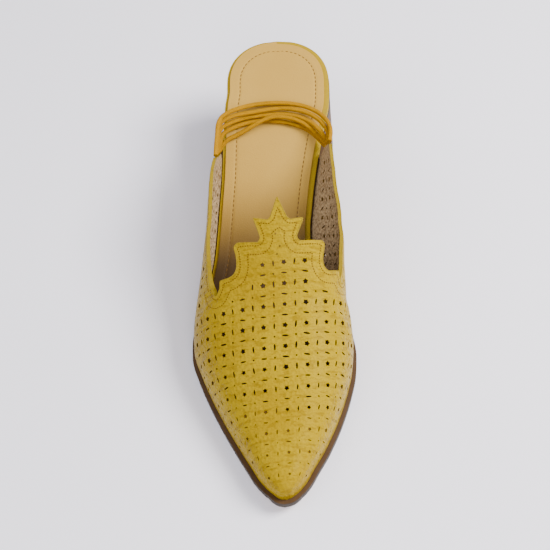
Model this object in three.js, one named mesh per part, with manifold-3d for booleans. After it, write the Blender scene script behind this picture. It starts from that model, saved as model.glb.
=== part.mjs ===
// A heeled, pointed babouche mule for the right foot, in millimetres.
// The toe points along -Y, the medial side is +X and the floor is z = 0.
// The origin is on the floor, under the top lift.
// "at" is always a share of the length, from the back of the heel (0) to the toe (1).
import * as THREE from 'three';
import { mergeVertices } from 'three/addons/utils/BufferGeometryUtils.js';
import Module from 'manifold-3d';

const wasm = await Module();
wasm.setup();

// Driving sizes
const length = 265;
const ballWidth = 80;
const waistWidth = 51;
const seatWidth = 58;
const heelHeight = 50;
const toeSpring = 6;
const instepHeight = 66;
const upperWall = 1.6;
const outsoleThickness = 4;
const boardThickness = 3;
const sockThickness = 1;
const liftThickness = 5;
const heelLength = 50;
const heelFlare = 1.2;
const heelRake = 3;
const weltAtToe = 2.6;
const weltAtBall = 1.8;
const weltAtWaist = 0.5;
const elasticDiameter = 2.5;
const gap = 0.3;
const boardClearance = 0.5;
const toeRound = 11.5;
const heelRound = 28;
const heelFullness = 2.2;
const originFromBack = 31;
const wingBack = 71;
const toeFullness = 2;
const noseFullness = 2.8;
const sockMarginLateral = 1.7;
const sockMarginMedial = 2.8;
const sockMarginBack = 1.5;

// Underside of the outsole: its lift off the floor, as a share of the heel height
const profile = [
  { at: 0.00, lift: 1.000 },
  { at: 0.10, lift: 0.915 },
  { at: 0.20, lift: 0.800 },
  { at: 0.30, lift: 0.600 },
  { at: 0.40, lift: 0.360 },
  { at: 0.50, lift: 0.135 },
  { at: 0.58, lift: 0.020 },
  { at: 0.64, lift: 0.000 },
  { at: 1.00, lift: 0.000 },
];
const springStart = 0.80;

// Edge of the insole board, either side of the centre line, as shares of the width named in each row
const widths = { seat: seatWidth, waist: waistWidth, ball: ballWidth };
const boardEdge = [
  { at: 0.000, lateral: 0.500, medial: 0.500, of: 'seat' },
  { at: 0.120, lateral: 0.492, medial: 0.502, of: 'seat' },
  { at: 0.155, lateral: 0.512, medial: 0.495, of: 'seat' },
  { at: 0.190, lateral: 0.522, medial: 0.462, of: 'seat' },
  { at: 0.240, lateral: 0.606, medial: 0.463, of: 'waist' },
  { at: 0.300, lateral: 0.622, medial: 0.398, of: 'waist' },
  { at: 0.360, lateral: 0.653, medial: 0.347, of: 'waist' },
  { at: 0.420, lateral: 0.688, medial: 0.314, of: 'waist' },
  { at: 0.460, lateral: 0.716, medial: 0.314, of: 'waist' },
  { at: 0.500, lateral: 0.485, medial: 0.229, of: 'ball' },
  { at: 0.545, lateral: 0.520, medial: 0.291, of: 'ball' },
  { at: 0.590, lateral: 0.551, medial: 0.367, of: 'ball' },
  { at: 0.635, lateral: 0.566, medial: 0.422, of: 'ball' },
  { at: 0.670, lateral: 0.560, medial: 0.436, of: 'ball' },
  { at: 0.710, lateral: 0.519, medial: 0.427, of: 'ball' },
  { at: 0.760, lateral: 0.452, medial: 0.390, of: 'ball' },
  { at: 0.820, lateral: 0.357, medial: 0.324, of: 'ball' },
  { at: 0.880, lateral: 0.251, medial: 0.238, of: 'ball' },
  { at: 0.940, lateral: 0.142, medial: 0.136, of: 'ball' },
  { at: 0.980, lateral: 0.078, medial: 0.090, of: 'ball' },
];

// Sections of the last over the sole edge.
// latOut and medOut: how far each side stands out past its foot, as shares of the ball width.
// latUp and medUp: height of the widest point; ridge: height of the top; shares of the instep height.
// off: the ridge's shift to the medial side, a share of the ball width. full: 2 is an ellipse.
const lastSections = [
  { at: 0.220, latOut: 0.000, medOut: 0.031, latUp: 0.30, medUp: 0.36, ridge: 1.200, off: 0.000, full: 2.0 },
  { at: 0.300, latOut: 0.004, medOut: 0.091, latUp: 0.30, medUp: 0.45, ridge: 1.170, off: 0.000, full: 2.0 },
  { at: 0.380, latOut: 0.026, medOut: 0.150, latUp: 0.29, medUp: 0.50, ridge: 1.095, off: 0.000, full: 2.0 },
  { at: 0.456, latOut: 0.022, medOut: 0.192, latUp: 0.26, medUp: 0.48, ridge: 1.038, off: 0.005, full: 2.0 },
  { at: 0.480, latOut: 0.018, medOut: 0.188, latUp: 0.25, medUp: 0.46, ridge: 1.000, off: 0.008, full: 2.1 },
  { at: 0.540, latOut: 0.008, medOut: 0.116, latUp: 0.18, medUp: 0.39, ridge: 0.888, off: 0.008, full: 2.1 },
  { at: 0.600, latOut: 0.003, medOut: 0.028, latUp: 0.12, medUp: 0.27, ridge: 0.750, off: 0.005, full: 2.2 },
  { at: 0.660, latOut: 0.004, medOut: 0.006, latUp: 0.09, medUp: 0.18, ridge: 0.640, off: 0.003, full: 2.2 },
  { at: 0.730, latOut: 0.004, medOut: 0.004, latUp: 0.08, medUp: 0.12, ridge: 0.538, off: 0.002, full: 2.3 },
  { at: 0.810, latOut: 0.004, medOut: 0.004, latUp: 0.07, medUp: 0.09, ridge: 0.428, off: 0.004, full: 2.3 },
  { at: 0.890, latOut: 0.004, medOut: 0.004, latUp: 0.06, medUp: 0.07, ridge: 0.312, off: 0.006, full: 2.4 },
  { at: 0.950, latOut: 0.002, medOut: 0.002, latUp: 0.05, medUp: 0.05, ridge: 0.222, off: 0.010, full: 2.4 },
  { at: 0.990, latOut: 0.002, medOut: 0.002, latUp: 0.04, medUp: 0.04, ridge: 0.180, off: 0.010, full: 2.4 },
];

// Top line of the two side wings over the sole edge, as shares of the instep height
const wingTop = [
  { at: wingBack / length, lateral: 0.12, medial: 0.15 },
  { at: 0.303, lateral: 0.31, medial: 0.42 },
  { at: 0.322, lateral: 0.42, medial: 0.455 },
  { at: 0.352, lateral: 0.49, medial: 0.49 },
  { at: 0.366, lateral: 0.55, medial: 0.55 },
  { at: 0.430, lateral: 0.56, medial: 0.56 },
  { at: 0.506, lateral: 0.56, medial: 0.55 },
  { at: 0.570, lateral: 0.56, medial: 0.53 },
  { at: 0.640, lateral: 0.56, medial: 0.53 },
];

// Crown of the throat, seen from above, from its tip to the slot beside the wing.
// across is a share of the ball width. A row with bend lies on a round stretch, the others are corners.
const crownLateral = [
  { across: 0.008, at: 0.478 },
  { across: -0.038, at: 0.508 },
  { across: -0.058, at: 0.512 },
  { across: -0.150, at: 0.506 },
  { across: -0.114, at: 0.532, bend: true },
  { across: -0.112, at: 0.539, bend: true },
  { across: -0.128, at: 0.544 },
  { across: -0.262, at: 0.537 },
  { across: -0.284, at: 0.542, bend: true },
  { across: -0.272, at: 0.556, bend: true },
  { across: -0.269, at: 0.572, bend: true },
  { across: -0.285, at: 0.584, bend: true },
  { across: -0.325, at: 0.589, bend: true },
  { across: -0.386, at: 0.588 },
  { across: -0.390, at: 0.602, bend: true },
  { across: -0.414, at: 0.612, bend: true },
  { across: -0.436, at: 0.604, bend: true },
  { across: -0.440, at: 0.594 },
];
const crownMedial = [
  { across: 0.008, at: 0.478 },
  { across: 0.064, at: 0.508 },
  { across: 0.086, at: 0.512 },
  { across: 0.168, at: 0.507 },
  { across: 0.130, at: 0.530, bend: true },
  { across: 0.124, at: 0.537, bend: true },
  { across: 0.140, at: 0.543 },
  { across: 0.284, at: 0.534 },
  { across: 0.299, at: 0.538, bend: true },
  { across: 0.290, at: 0.552, bend: true },
  { across: 0.286, at: 0.564, bend: true },
  { across: 0.296, at: 0.574, bend: true },
  { across: 0.325, at: 0.577, bend: true },
  { across: 0.388, at: 0.566 },
  { across: 0.392, at: 0.574, bend: true },
  { across: 0.402, at: 0.583, bend: true },
  { across: 0.414, at: 0.576, bend: true },
  { across: 0.416, at: 0.568 },
];

// Ledge of the outsole round the upper's foot
const soleLedge = [
  { at: 0.00, ledge: gap },
  { at: 0.20, ledge: gap },
  { at: 0.26, ledge: upperWall + boardClearance + weltAtWaist },
  { at: 0.50, ledge: upperWall + boardClearance + weltAtWaist },
  { at: 0.62, ledge: upperWall + boardClearance + weltAtBall },
  { at: 0.96, ledge: upperWall + boardClearance + weltAtToe },
];

// Elastic strands: points [x, y, z] of their centre lines, chosen by hand. Each leaves the back end of
// the lateral wing, lies low across the sock and ends at the back end of the medial wing.
const strands = [
  [[-33.5, -51.3, 58.3], [-33.0, -38.5, 58.2], [-31.4, -25.7, 58.1], [-27.2, -20.7, 57.3],
    [-21.1, -16.8, 56.0], [-13.3, -13.5, 54.6], [-8.9, -12.6, 54.1], [-4.3, -12.1, 53.8],
    [4.8, -12.3, 53.5], [13.1, -14.5, 53.7], [19.4, -18.3, 54.5], [24.5, -23.7, 55.7],
    [27.8, -29.9, 56.9], [29.1, -36.3, 57.8], [28.4, -44.2, 58.2]],
  [[-33.3, -48.4, 55.4], [-33.1, -37.6, 55.3], [-31.9, -26.8, 55.2], [-27.0, -22.2, 54.8],
    [-20.2, -19.6, 54.3], [-13.3, -18.3, 54.0], [-6.4, -17.0, 53.9], [0.6, -16.1, 53.7],
    [4.4, -16.1, 53.6], [8.2, -16.6, 53.5], [15.1, -19.1, 53.5], [20.6, -23.2, 54.0],
    [25.0, -29.2, 54.8], [27.5, -35.5, 55.3], [27.9, -42.9, 55.3]],
  [[-33.1, -45.6, 52.5], [-32.9, -36.8, 52.4], [-31.6, -28.1, 52.4], [-27.2, -24.2, 52.0],
    [-21.1, -21.3, 51.7], [-17.4, -20.2, 51.5], [-13.5, -19.3, 51.4], [-5.8, -18.4, 51.3],
    [1.5, -18.3, 51.3], [8.1, -19.4, 51.2], [13.6, -22.1, 51.7], [18.5, -26.3, 52.6],
    [22.6, -31.6, 53.2], [25.7, -36.9, 53.1], [27.3, -41.4, 52.5]],
  [[-32.9, -42.6, 49.7], [-32.1, -36.1, 49.8], [-30.4, -29.6, 50.0], [-25.7, -26.1, 50.1],
    [-20.1, -23.7, 50.2], [-14.2, -22.3, 50.3], [-8.0, -21.8, 50.3], [-2.1, -22.1, 50.2],
    [4.2, -23.1, 50.0], [7.3, -24.0, 49.7], [10.4, -25.0, 49.4], [15.9, -27.4, 48.5],
    [20.6, -31.3, 47.5], [23.6, -35.0, 46.9], [26.0, -38.5, 46.9]],
  [[-32.6, -39.2, 46.9], [-30.9, -35.7, 47.3], [-28.2, -32.2, 47.7], [-23.3, -30.0, 48.6],
    [-18.7, -28.6, 50.4], [-14.4, -27.1, 52.3], [-10.5, -25.4, 53.5], [-6.4, -23.5, 54.0],
    [-2.2, -22.3, 54.0], [2.3, -22.2, 53.7], [7.1, -22.8, 52.9], [11.9, -24.4, 52.0],
    [16.3, -27.3, 51.2], [20.5, -31.3, 50.4], [23.5, -35.4, 49.9], [26.7, -39.6, 49.7]],
];

const lateral = -1;
const medial = 1;

// A smooth curve through one column of a table, without overshoot
function follow(rows, column, at) {
  const last = rows.length - 1;
  if (at <= rows[0].at) return column(rows[0]);
  if (at >= rows[last].at) return column(rows[last]);
  let i = 0;
  while (rows[i + 1].at < at) i += 1;
  const grade = (k) => (column(rows[k + 1]) - column(rows[k])) / (rows[k + 1].at - rows[k].at);
  const tangent = (k) => {
    if (k === 0) return grade(0);
    if (k === last) return grade(last - 1);
    const before = grade(k - 1);
    const after = grade(k);
    return before * after <= 0 ? 0 : (2 * before * after) / (before + after);
  };
  const step = rows[i + 1].at - rows[i].at;
  const t = (at - rows[i].at) / step;
  const ease = t * t * (3 - 2 * t);
  const lean = t * (1 - t) * step * ((1 - t) * tangent(i) - t * tangent(i + 1));
  return column(rows[i]) * (1 - ease) + column(rows[i + 1]) * ease + lean;
}

const distanceY = (distance) => originFromBack - distance;

// Height of the outsole's underside
function soleUnder(distance) {
  const at = Math.min(Math.max(distance / length, 0), 1);
  const spring = Math.max((at - springStart) / (1 - springStart), 0);
  return heelHeight * follow(profile, (row) => row.lift, at) + toeSpring * spring * spring;
}
const outsoleTop = (distance) => soleUnder(distance) + outsoleThickness;
const upperFoot = (distance) => outsoleTop(distance) + gap;

const boardTip = length - weltAtToe - upperWall - boardClearance;
const upperGrow = upperWall + boardClearance;

// 1 along the shoe and falling to 0 over the last stretch before a round end
function rounding(fromEnd, stretch, power) {
  const t = Math.min(Math.max(1 - fromEnd / stretch, 0), 1);
  return Math.pow(1 - Math.pow(t, power), 1 / power);
}

// Distance of an edge from the centre line: the board's edge, grown outwards all round
function edge(distance, side, grow) {
  const column = (row) => (side === medial ? row.medial : row.lateral) * widths[row.of];
  const here = follow(boardEdge, column, distance / length);
  const ahead = follow(boardEdge, column, (distance + 1) / length);
  const plain = here + grow * Math.hypot(1, ahead - here);
  const back = rounding(distance + grow, heelRound + grow, heelFullness);
  const front = rounding(boardTip + grow - distance, toeRound + grow, toeFullness);
  return plain * back * front;
}

// Distances along the shoe, closer together at both round ends
const evenShare = 0.35;
function distances(from, to, count) {
  return Array.from({ length: count + 1 }, (_, i) => {
    const t = i / count;
    const eased = 0.5 * (1 - Math.cos(Math.PI * t));
    return from + (to - from) * (evenShare * t + (1 - evenShare) * eased);
  });
}

function bodyFrom(points, triangles) {
  const geometry = new THREE.BufferGeometry();
  geometry.setAttribute('position', new THREE.Float32BufferAttribute(points.flat(), 3));
  geometry.setIndex(triangles);
  return geometry;
}

// Closed skin over rings of equal count, each closed on itself, with a cap on the first and the last
function skin(rings) {
  const count = rings[0].length;
  const points = rings.flat();
  const triangles = [];
  for (let r = 0; r < rings.length - 1; r += 1) {
    for (let i = 0; i < count; i += 1) {
      const a = r * count + i;
      const b = r * count + ((i + 1) % count);
      triangles.push(a, b + count, b, a, a + count, b + count);
    }
  }
  for (const [ring, flip] of [[0, true], [rings.length - 1, false]]) {
    for (const [a, b, c] of capTriangles(count)) {
      const base = ring * count;
      triangles.push(...(flip ? [base + a, base + c, base + b] : [base + a, base + b, base + c]));
    }
  }
  return bodyFrom(points, triangles);
}

// Cap over a ring with a ridge in its middle: a ladder between its lateral and medial points
function capTriangles(count) {
  const triangles = [];
  for (let i = 0; i < (count - 1) / 2; i += 1) {
    const across = count - 1 - i;
    triangles.push([i, across, i + 1]);
    if (i + 1 !== across - 1) triangles.push([i + 1, across, across - 1]);
  }
  return triangles;
}

// A plate that follows the shoe: two edges, an underside and a top, pointed at both tips
function plate(back, front, lateralEdge, medialEdge, under, top, count) {
  const along = distances(back, front, count);
  const points = [];
  for (const s of along) {
    const y = distanceY(s);
    const tip = s === along[0] || s === along[count];
    const left = tip ? 0 : -lateralEdge(s);
    const right = tip ? 0 : medialEdge(s);
    points.push([left, y, under(s)], [right, y, under(s)], [right, y, top(s)], [left, y, top(s)]);
  }
  const triangles = [];
  for (let i = 0; i < count; i += 1) {
    for (let k = 0; k < 4; k += 1) {
      const a = i * 4 + k;
      const b = i * 4 + ((k + 1) % 4);
      triangles.push(a, b, b + 4, a, b + 4, a + 4);
    }
  }
  return welded(bodyFrom(points, triangles));
}

// Shared vertices merged and triangles without area left out
function welded(geometry) {
  const merged = mergeVertices(geometry, 1e-5);
  const index = merged.getIndex().array;
  const kept = [];
  for (let i = 0; i < index.length; i += 3) {
    const [a, b, c] = [index[i], index[i + 1], index[i + 2]];
    if (a !== b && b !== c && a !== c) kept.push(a, b, c);
  }
  merged.setIndex(kept);
  return merged;
}

function solid(geometry) {
  const plain = geometry.clone();
  plain.deleteAttribute('normal');
  plain.deleteAttribute('uv');
  const merged = welded(plain);
  const vertProperties = Float32Array.from(merged.getAttribute('position').array);
  const triVerts = Uint32Array.from(merged.getIndex().array);
  return new wasm.Manifold(new wasm.Mesh({ numProp: 3, vertProperties, triVerts }));
}

function geometryOf(manifold) {
  const mesh = manifold.getMesh();
  const geometry = new THREE.BufferGeometry();
  geometry.setAttribute('position', new THREE.BufferAttribute(Float32Array.from(mesh.vertProperties), 3));
  geometry.setIndex(new THREE.BufferAttribute(Uint32Array.from(mesh.triVerts), 1));
  return geometry;
}

// How far a cutting body goes beyond what it cuts
const reach = 120;

// Outline given by [across, up] points, made into a bar from one depth to another.
// turn places the bar's own x, y and z axes in the shoe.
function bar(outline, from, to, turn) {
  const shape = new THREE.Shape(outline.map(([x, y]) => new THREE.Vector2(x, y)));
  const depth = to - from;
  const geometry = new THREE.ExtrudeGeometry(shape, { depth, bevelEnabled: false, curveSegments: 1 });
  geometry.translate(0, 0, from);
  geometry.applyMatrix4(turn);
  return geometry;
}
// Bar seen from above, running up; and bar seen from the side, running across the shoe
const seenFromAbove = new THREE.Matrix4();
const seenFromSide = new THREE.Matrix4().makeBasis(
  new THREE.Vector3(0, 1, 0),
  new THREE.Vector3(0, 0, 1),
  new THREE.Vector3(1, 0, 0),
);

// One section of the last, from the lateral foot over the ridge to the medial foot
const lowSteps = 4;
const highSteps = 10;
function lastSection(distance) {
  const at = distance / length;
  const read = (name) => follow(lastSections, (row) => row[name], at);
  const tip = boardTip + upperGrow;
  const nose = rounding(tip - distance, toeRound + upperGrow, noseFullness);
  const ridge = read('ridge') * instepHeight * nose;
  const ridgeX = read('off') * ballWidth * nose;
  const power = 2 / read('full');
  const half = (side) => {
    const name = side === medial ? 'med' : 'lat';
    const foot = edge(distance, side, upperGrow);
    const slim = rounding(tip - distance, toeRound + upperGrow, toeFullness);
    const widest = foot + read(name + 'Out') * ballWidth * slim;
    const rise = Math.min(read(name + 'Up') * instepHeight, ridge * 0.5);
    const points = [];
    for (let i = 0; i < lowSteps; i += 1) {
      const t = i / lowSteps;
      points.push([side * (foot + (widest - foot) * Math.sin((t * Math.PI) / 2)), rise * t]);
    }
    for (let i = 0; i < highSteps; i += 1) {
      const angle = ((i / highSteps) * Math.PI) / 2;
      const out = side * widest - ridgeX;
      const x = ridgeX + out * Math.pow(Math.cos(angle), power);
      points.push([x, rise + (ridge - rise) * Math.pow(Math.sin(angle), power)]);
    }
    return points;
  };
  const across = [...half(lateral), [ridgeX, ridge], ...half(medial).reverse()];
  return across.map(([x, up]) => new THREE.Vector3(x, distanceY(distance), upperFoot(distance) + up));
}

// Grid of sections, moved inwards along the surface's own normal by a depth
function lastGrid(along, depth) {
  const grid = along.map(lastSection);
  const rows = grid.length;
  const columns = grid[0].length;
  return grid.map((row, r) => row.map((point, c) => {
    const forward = grid[Math.min(r + 1, rows - 1)][c].clone().sub(grid[Math.max(r - 1, 0)][c]);
    const around = row[Math.min(c + 1, columns - 1)].clone().sub(row[Math.max(c - 1, 0)]);
    const out = around.cross(forward).normalize().negate();
    return point.clone().addScaledVector(out, -depth);
  }));
}

function lastBody(along, depth, drop) {
  const grid = lastGrid(along, depth);
  const rings = grid.map((row) => {
    const low = (p) => [p.x, p.y, p.z - drop];
    const ring = row.map((p) => [p.x, p.y, p.z]);
    return drop > 0 ? [low(row[0]), ...ring, low(row[row.length - 1])] : ring;
  });
  return solid(skin(rings));
}

// The upper's skin starts behind the wings, and the space inside it runs past that start and its foot
const upperBack = wingBack - 8;
const insideBack = upperBack - 4;
const insideDrop = 6;
const upperTip = boardTip + upperGrow;
const noseStart = upperTip - toeRound - upperGrow;

// Stations of the upper: even along the shoe and bunched round the nose, almost to its very front
const noseSweep = 0.975;
function upperStations(from) {
  const even = 34;
  const nose = 9;
  const stations = Array.from({ length: even }, (_, i) => from + ((noseStart - from) * i) / even);
  for (let i = 0; i <= nose; i += 1) {
    const angle = ((i / nose) * Math.PI * noseSweep) / 2;
    stations.push(noseStart + (toeRound + upperGrow) * Math.sin(angle));
  }
  return stations;
}

// Everything over the wings' top line and behind their back ends, on one side of the shoe
function aboveWing(side) {
  const column = (row) => (side === medial ? row.medial : row.lateral);
  const first = wingTop[0].at;
  const last = wingTop[wingTop.length - 1].at;
  const steps = 36;
  const line = Array.from({ length: steps + 1 }, (_, i) => {
    const at = last + ((first - last) * i) / steps;
    const height = upperFoot(at * length) + instepHeight * follow(wingTop, column, at);
    return [distanceY(at * length), height];
  });
  const back = distanceY(first * length - 1);
  const low = -reach;
  const sky = reach * 2;
  const outline = [...line, [back, low], [back + reach, low], [back + reach, sky], [line[0][0], sky]];
  const [from, to] = side === medial ? [0, reach] : [-reach, 0];
  return solid(bar(outline, from, to, seenFromSide));
}

// Outline through a table's rows: straight between corners, a spline where rows bend
function rounded(rows) {
  const place = ({ across, at }) => new THREE.Vector2(across * ballWidth, distanceY(at * length));
  const outline = [place(rows[0])];
  let run = [place(rows[0])];
  for (const row of rows.slice(1)) {
    run.push(place(row));
    if (row.bend) continue;
    const count = run.length > 2 ? 3 * (run.length - 1) : 1;
    outline.push(...new THREE.SplineCurve(run).getPoints(count).slice(1));
    run = [place(row)];
  }
  return outline.map((p) => [p.x, p.y]);
}

// Everything behind the crown, seen from above
function behindCrown() {
  const left = rounded(crownLateral);
  const right = rounded(crownMedial).slice(1);
  const outline = [
    ...left.slice().reverse(),
    ...right,
    [reach, right[right.length - 1][1]],
    [reach, distanceY(-reach)],
    [-reach, distanceY(-reach)],
    [-reach, left[left.length - 1][1]],
  ];
  return solid(bar(outline, -reach, reach * 2, seenFromAbove));
}

function upper() {
  const stations = upperStations(upperBack);
  const outside = lastBody(stations, 0, 0);
  const inside = lastBody([insideBack, ...stations], upperWall, insideDrop);
  const opening = aboveWing(lateral).add(aboveWing(medial)).intersect(behindCrown());
  return geometryOf(outside.subtract(inside).subtract(opening));
}

function outsole() {
  const ledge = (s) => follow(soleLedge, (row) => row.ledge, s / length);
  const sideEdge = (side) => (s) => edge(s, side, ledge(s));
  return plate(-gap, length, sideEdge(lateral), sideEdge(medial), soleUnder, outsoleTop, 64);
}

function insoleBoard() {
  const under = (s) => outsoleTop(s) + gap;
  const top = (s) => under(s) + boardThickness;
  const sideEdge = (side) => (s) => edge(s, side, 0);
  return plate(0, boardTip, sideEdge(lateral), sideEdge(medial), under, top, 60);
}

// The sock stops short of the board's edge, by more on the medial side
const slimmest = 0.2;
function sock() {
  const under = (s) => outsoleTop(s) + 2 * gap + boardThickness;
  const top = (s) => under(s) + sockThickness;
  const inner = (side, margin) => (s) => Math.max(edge(s, side, -margin), slimmest);
  const lateralEdge = inner(lateral, sockMarginLateral);
  const medialEdge = inner(medial, sockMarginMedial);
  return plate(sockMarginBack, boardTip - sockMarginMedial, lateralEdge, medialEdge, under, top, 60);
}

// Outline of the heel at a height: straight breast in front, the seat's own curve behind
function heelRing(height, count) {
  const down = 1 - height / heelHeight;
  const back = heelRake * down;
  const front = heelLength - heelRake * down;
  const ring = [];
  for (const side of [medial, lateral]) {
    for (let i = 0; i < count; i += 1) {
      const t = side === medial ? 1 - i / count : i / count;
      const s = back + (front - back) * (1 - Math.cos((t * Math.PI) / 2));
      const own = ((s - back) / (front - back)) * heelLength;
      const flare = heelFlare * down * rounding(own, heelRound, heelFullness);
      const out = edge(own, side, 0) + flare;
      ring.push([side * (t === 0 ? 0 : out), distanceY(s), height]);
    }
  }
  ring.push([-(edge(heelLength, lateral, 0) + heelFlare * down), distanceY(front), height]);
  return ring;
}

// Solid between rings that lie one over another
function stack(rings) {
  const count = rings[0].length;
  const triangles = [];
  for (let r = 0; r < rings.length - 1; r += 1) {
    for (let i = 0; i < count; i += 1) {
      const a = r * count + i;
      const b = r * count + ((i + 1) % count);
      triangles.push(a, b, b + count, a, b + count, a + count);
    }
  }
  const flat = rings[0].map((p) => new THREE.Vector2(p[0], p[1]));
  const top = (rings.length - 1) * count;
  for (const [a, b, c] of THREE.ShapeUtils.triangulateShape(flat, [])) {
    triangles.push(a, c, b, top + a, top + b, top + c);
  }
  return bodyFrom(rings.flat(), triangles);
}

const heelRingCount = 20;
function topLift() {
  return stack([heelRing(0, heelRingCount), heelRing(liftThickness, heelRingCount)]);
}

function heelBlock() {
  const bottom = liftThickness;
  const top = heelHeight + liftThickness;
  const levels = 5;
  const rings = Array.from({ length: levels + 1 }, (_, i) => {
    const height = bottom + ((top - bottom) * i) / levels;
    return heelRing(height, heelRingCount);
  });
  const under = (s) => soleUnder(s) - gap;
  const wide = () => ballWidth;
  const sky = () => heelHeight + reach;
  const seatCut = solid(plate(-heelLength, 2 * heelLength, wide, wide, under, sky, 60));
  return geometryOf(solid(stack(rings)).subtract(seatCut));
}

// A strand of round elastic along its points
function strand(points) {
  const sides = 8;
  const outline = Array.from({ length: sides }, (_, i) => {
    const angle = (i * 2 * Math.PI) / sides;
    return new THREE.Vector2(Math.cos(angle), Math.sin(angle)).multiplyScalar(elasticDiameter / 2);
  });
  const extrudePath = new THREE.CatmullRomCurve3(points.map((p) => new THREE.Vector3(...p)));
  return new THREE.ExtrudeGeometry(new THREE.Shape(outline), { steps: 30, curveSegments: 1, extrudePath });
}

const finishes = {
  yellowLeather: { color: 0xdec019, roughness: 0.45, metalness: 0 },
  tanLeather: { color: 0xd0b070, roughness: 0.6, metalness: 0 },
  stackedLeather: { color: 0x876c55, roughness: 0.6, metalness: 0 },
  soleLeather: { color: 0x7a5c40, roughness: 0.65, metalness: 0 },
  rubber: { color: 0x2c2622, roughness: 0.8, metalness: 0 },
  elastic: { color: 0xe4b23c, roughness: 0.7, metalness: 0 },
};

const slipper = new THREE.Group();

function add(name, geometry, finish) {
  const mesh = new THREE.Mesh(geometry, new THREE.MeshStandardMaterial(finishes[finish]));
  mesh.name = name;
  slipper.add(mesh);
}

add('outsole', outsole(), 'soleLeather');
add('insole_board', insoleBoard(), 'yellowLeather');
add('upper', upper(), 'yellowLeather');
add('sock', sock(), 'tanLeather');
add('heel_block', heelBlock(), 'stackedLeather');
add('top_lift', topLift(), 'rubber');

strands.forEach((points, i) => add(`elastic_${i + 1}`, strand(points), 'elastic'));

export default slipper;
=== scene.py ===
# A right babouche mule: pointed toe, punched yellow leather, block heel and elastic cords.
# The toe points along -Y, the medial side is +X and the floor is z = 0. Lengths are in metres.
import math
import random

import bmesh
import bpy
import numpy as np
from mathutils import Matrix, Vector


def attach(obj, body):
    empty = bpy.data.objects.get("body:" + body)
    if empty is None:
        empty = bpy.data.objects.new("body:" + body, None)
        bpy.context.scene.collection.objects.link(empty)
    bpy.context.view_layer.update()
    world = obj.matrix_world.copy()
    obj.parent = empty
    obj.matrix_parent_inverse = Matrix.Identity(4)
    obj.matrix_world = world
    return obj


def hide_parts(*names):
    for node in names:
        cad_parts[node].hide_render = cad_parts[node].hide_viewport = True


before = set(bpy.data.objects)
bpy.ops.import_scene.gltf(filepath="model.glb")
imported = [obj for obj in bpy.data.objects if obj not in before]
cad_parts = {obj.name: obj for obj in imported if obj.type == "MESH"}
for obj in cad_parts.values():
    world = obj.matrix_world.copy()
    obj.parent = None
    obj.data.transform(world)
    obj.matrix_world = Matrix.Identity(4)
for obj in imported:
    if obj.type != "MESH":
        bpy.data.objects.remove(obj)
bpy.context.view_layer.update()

# The view
# The shoe stands on a pale studio floor and is seen from over the toe, as in a shop picture.
# A large soft light hangs at the medial side, with weak ones at the lateral side and before the toe.
EYE = Vector((0.0276, -0.4945, 0.6206))
LOOK = Vector((-0.0436, 0.5442, -0.8387))
UPRIGHT = Vector((0.0337, 0.8380, 0.5447))
FOCAL_MM = 86.4
SHOE_MIDDLE = (0, -0.10, 0.03)
SKY_COLOUR = (0.96, 0.94, 1.0, 1)
SKY_STRENGTH = 0.68
FLOOR_HALF = 40


def linear(red, green, blue):
    """A screen colour from 0 to 255 as the renderer's own numbers."""
    def one(value):
        share = value / 255
        return share / 12.92 if share <= 0.04045 else ((share + 0.055) / 1.055) ** 2.4
    return (one(red), one(green), one(blue), 1.0)


def linked(obj):
    """Puts an object in the scene."""
    bpy.context.scene.collection.objects.link(obj)
    return obj


camera = linked(bpy.data.objects.new("camera", bpy.data.cameras.new("camera")))
camera.data.lens = FOCAL_MM
camera.data.sensor_width = 36
camera.data.clip_start = 0.01
backward = -LOOK.normalized()
rightward = UPRIGHT.cross(backward).normalized()
upward = backward.cross(rightward)
camera.matrix_world = Matrix.Translation(EYE) @ Matrix((rightward, upward, backward)).transposed().to_4x4()
bpy.context.scene.camera = camera


def soft_light(name, place, aim, size, watts, colour):
    """A square soft light that faces a point."""
    lamp = bpy.data.lights.new(name, "AREA")
    lamp.size = size
    lamp.energy = watts
    lamp.color = colour
    obj = linked(bpy.data.objects.new(name, lamp))
    obj.location = place
    obj.rotation_mode = "QUATERNION"
    obj.rotation_quaternion = (Vector(aim) - Vector(place)).to_track_quat("-Z", "Y")


soft_light("key_light", (0.86, -0.05, 1.0), SHOE_MIDDLE, size=0.60, watts=34, colour=(1.0, 0.985, 0.96))
soft_light("fill_light", (-0.9, -0.5, 1.1), SHOE_MIDDLE, size=0.9, watts=8, colour=(0.96, 0.97, 1.0))
soft_light("toe_light", (0.15, -1.1, 0.9), SHOE_MIDDLE, size=0.5, watts=6, colour=(1.0, 0.99, 0.97))
sky = bpy.data.worlds.new("studio")
sky.use_nodes = True
sky_light = sky.node_tree.nodes["Background"]
sky_light.inputs["Color"].default_value = SKY_COLOUR
sky_light.inputs["Strength"].default_value = SKY_STRENGTH
bpy.context.scene.world = sky


class Value:
    """A number that changes over a surface. Its operators add Math nodes."""

    def __init__(self, tree, socket):
        self.tree = tree
        self.socket = socket

    def math(self, operation, *numbers):
        """A Math node over some numbers or values."""
        node = self.tree.nodes.new("ShaderNodeMath")
        node.operation = operation
        for place, number in zip(node.inputs, numbers):
            plug(self.tree, place, number)
        return Value(self.tree, node.outputs[0])

    def __add__(self, other):
        return self.math("ADD", self, other)

    def __sub__(self, other):
        return self.math("SUBTRACT", self, other)

    def __rsub__(self, other):
        return self.math("SUBTRACT", other, self)

    def __mul__(self, other):
        return self.math("MULTIPLY", self, other)

    def __lt__(self, other):
        return self.math("LESS_THAN", self, other)

    __radd__ = __add__
    __rmul__ = __mul__


def plug(tree, place, value):
    """Links a value or socket to an input, or sets a number or colour on it."""
    if isinstance(value, Value):
        tree.links.new(value.socket, place)
    elif isinstance(value, bpy.types.NodeSocket):
        tree.links.new(value, place)
    else:
        place.default_value = value


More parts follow.
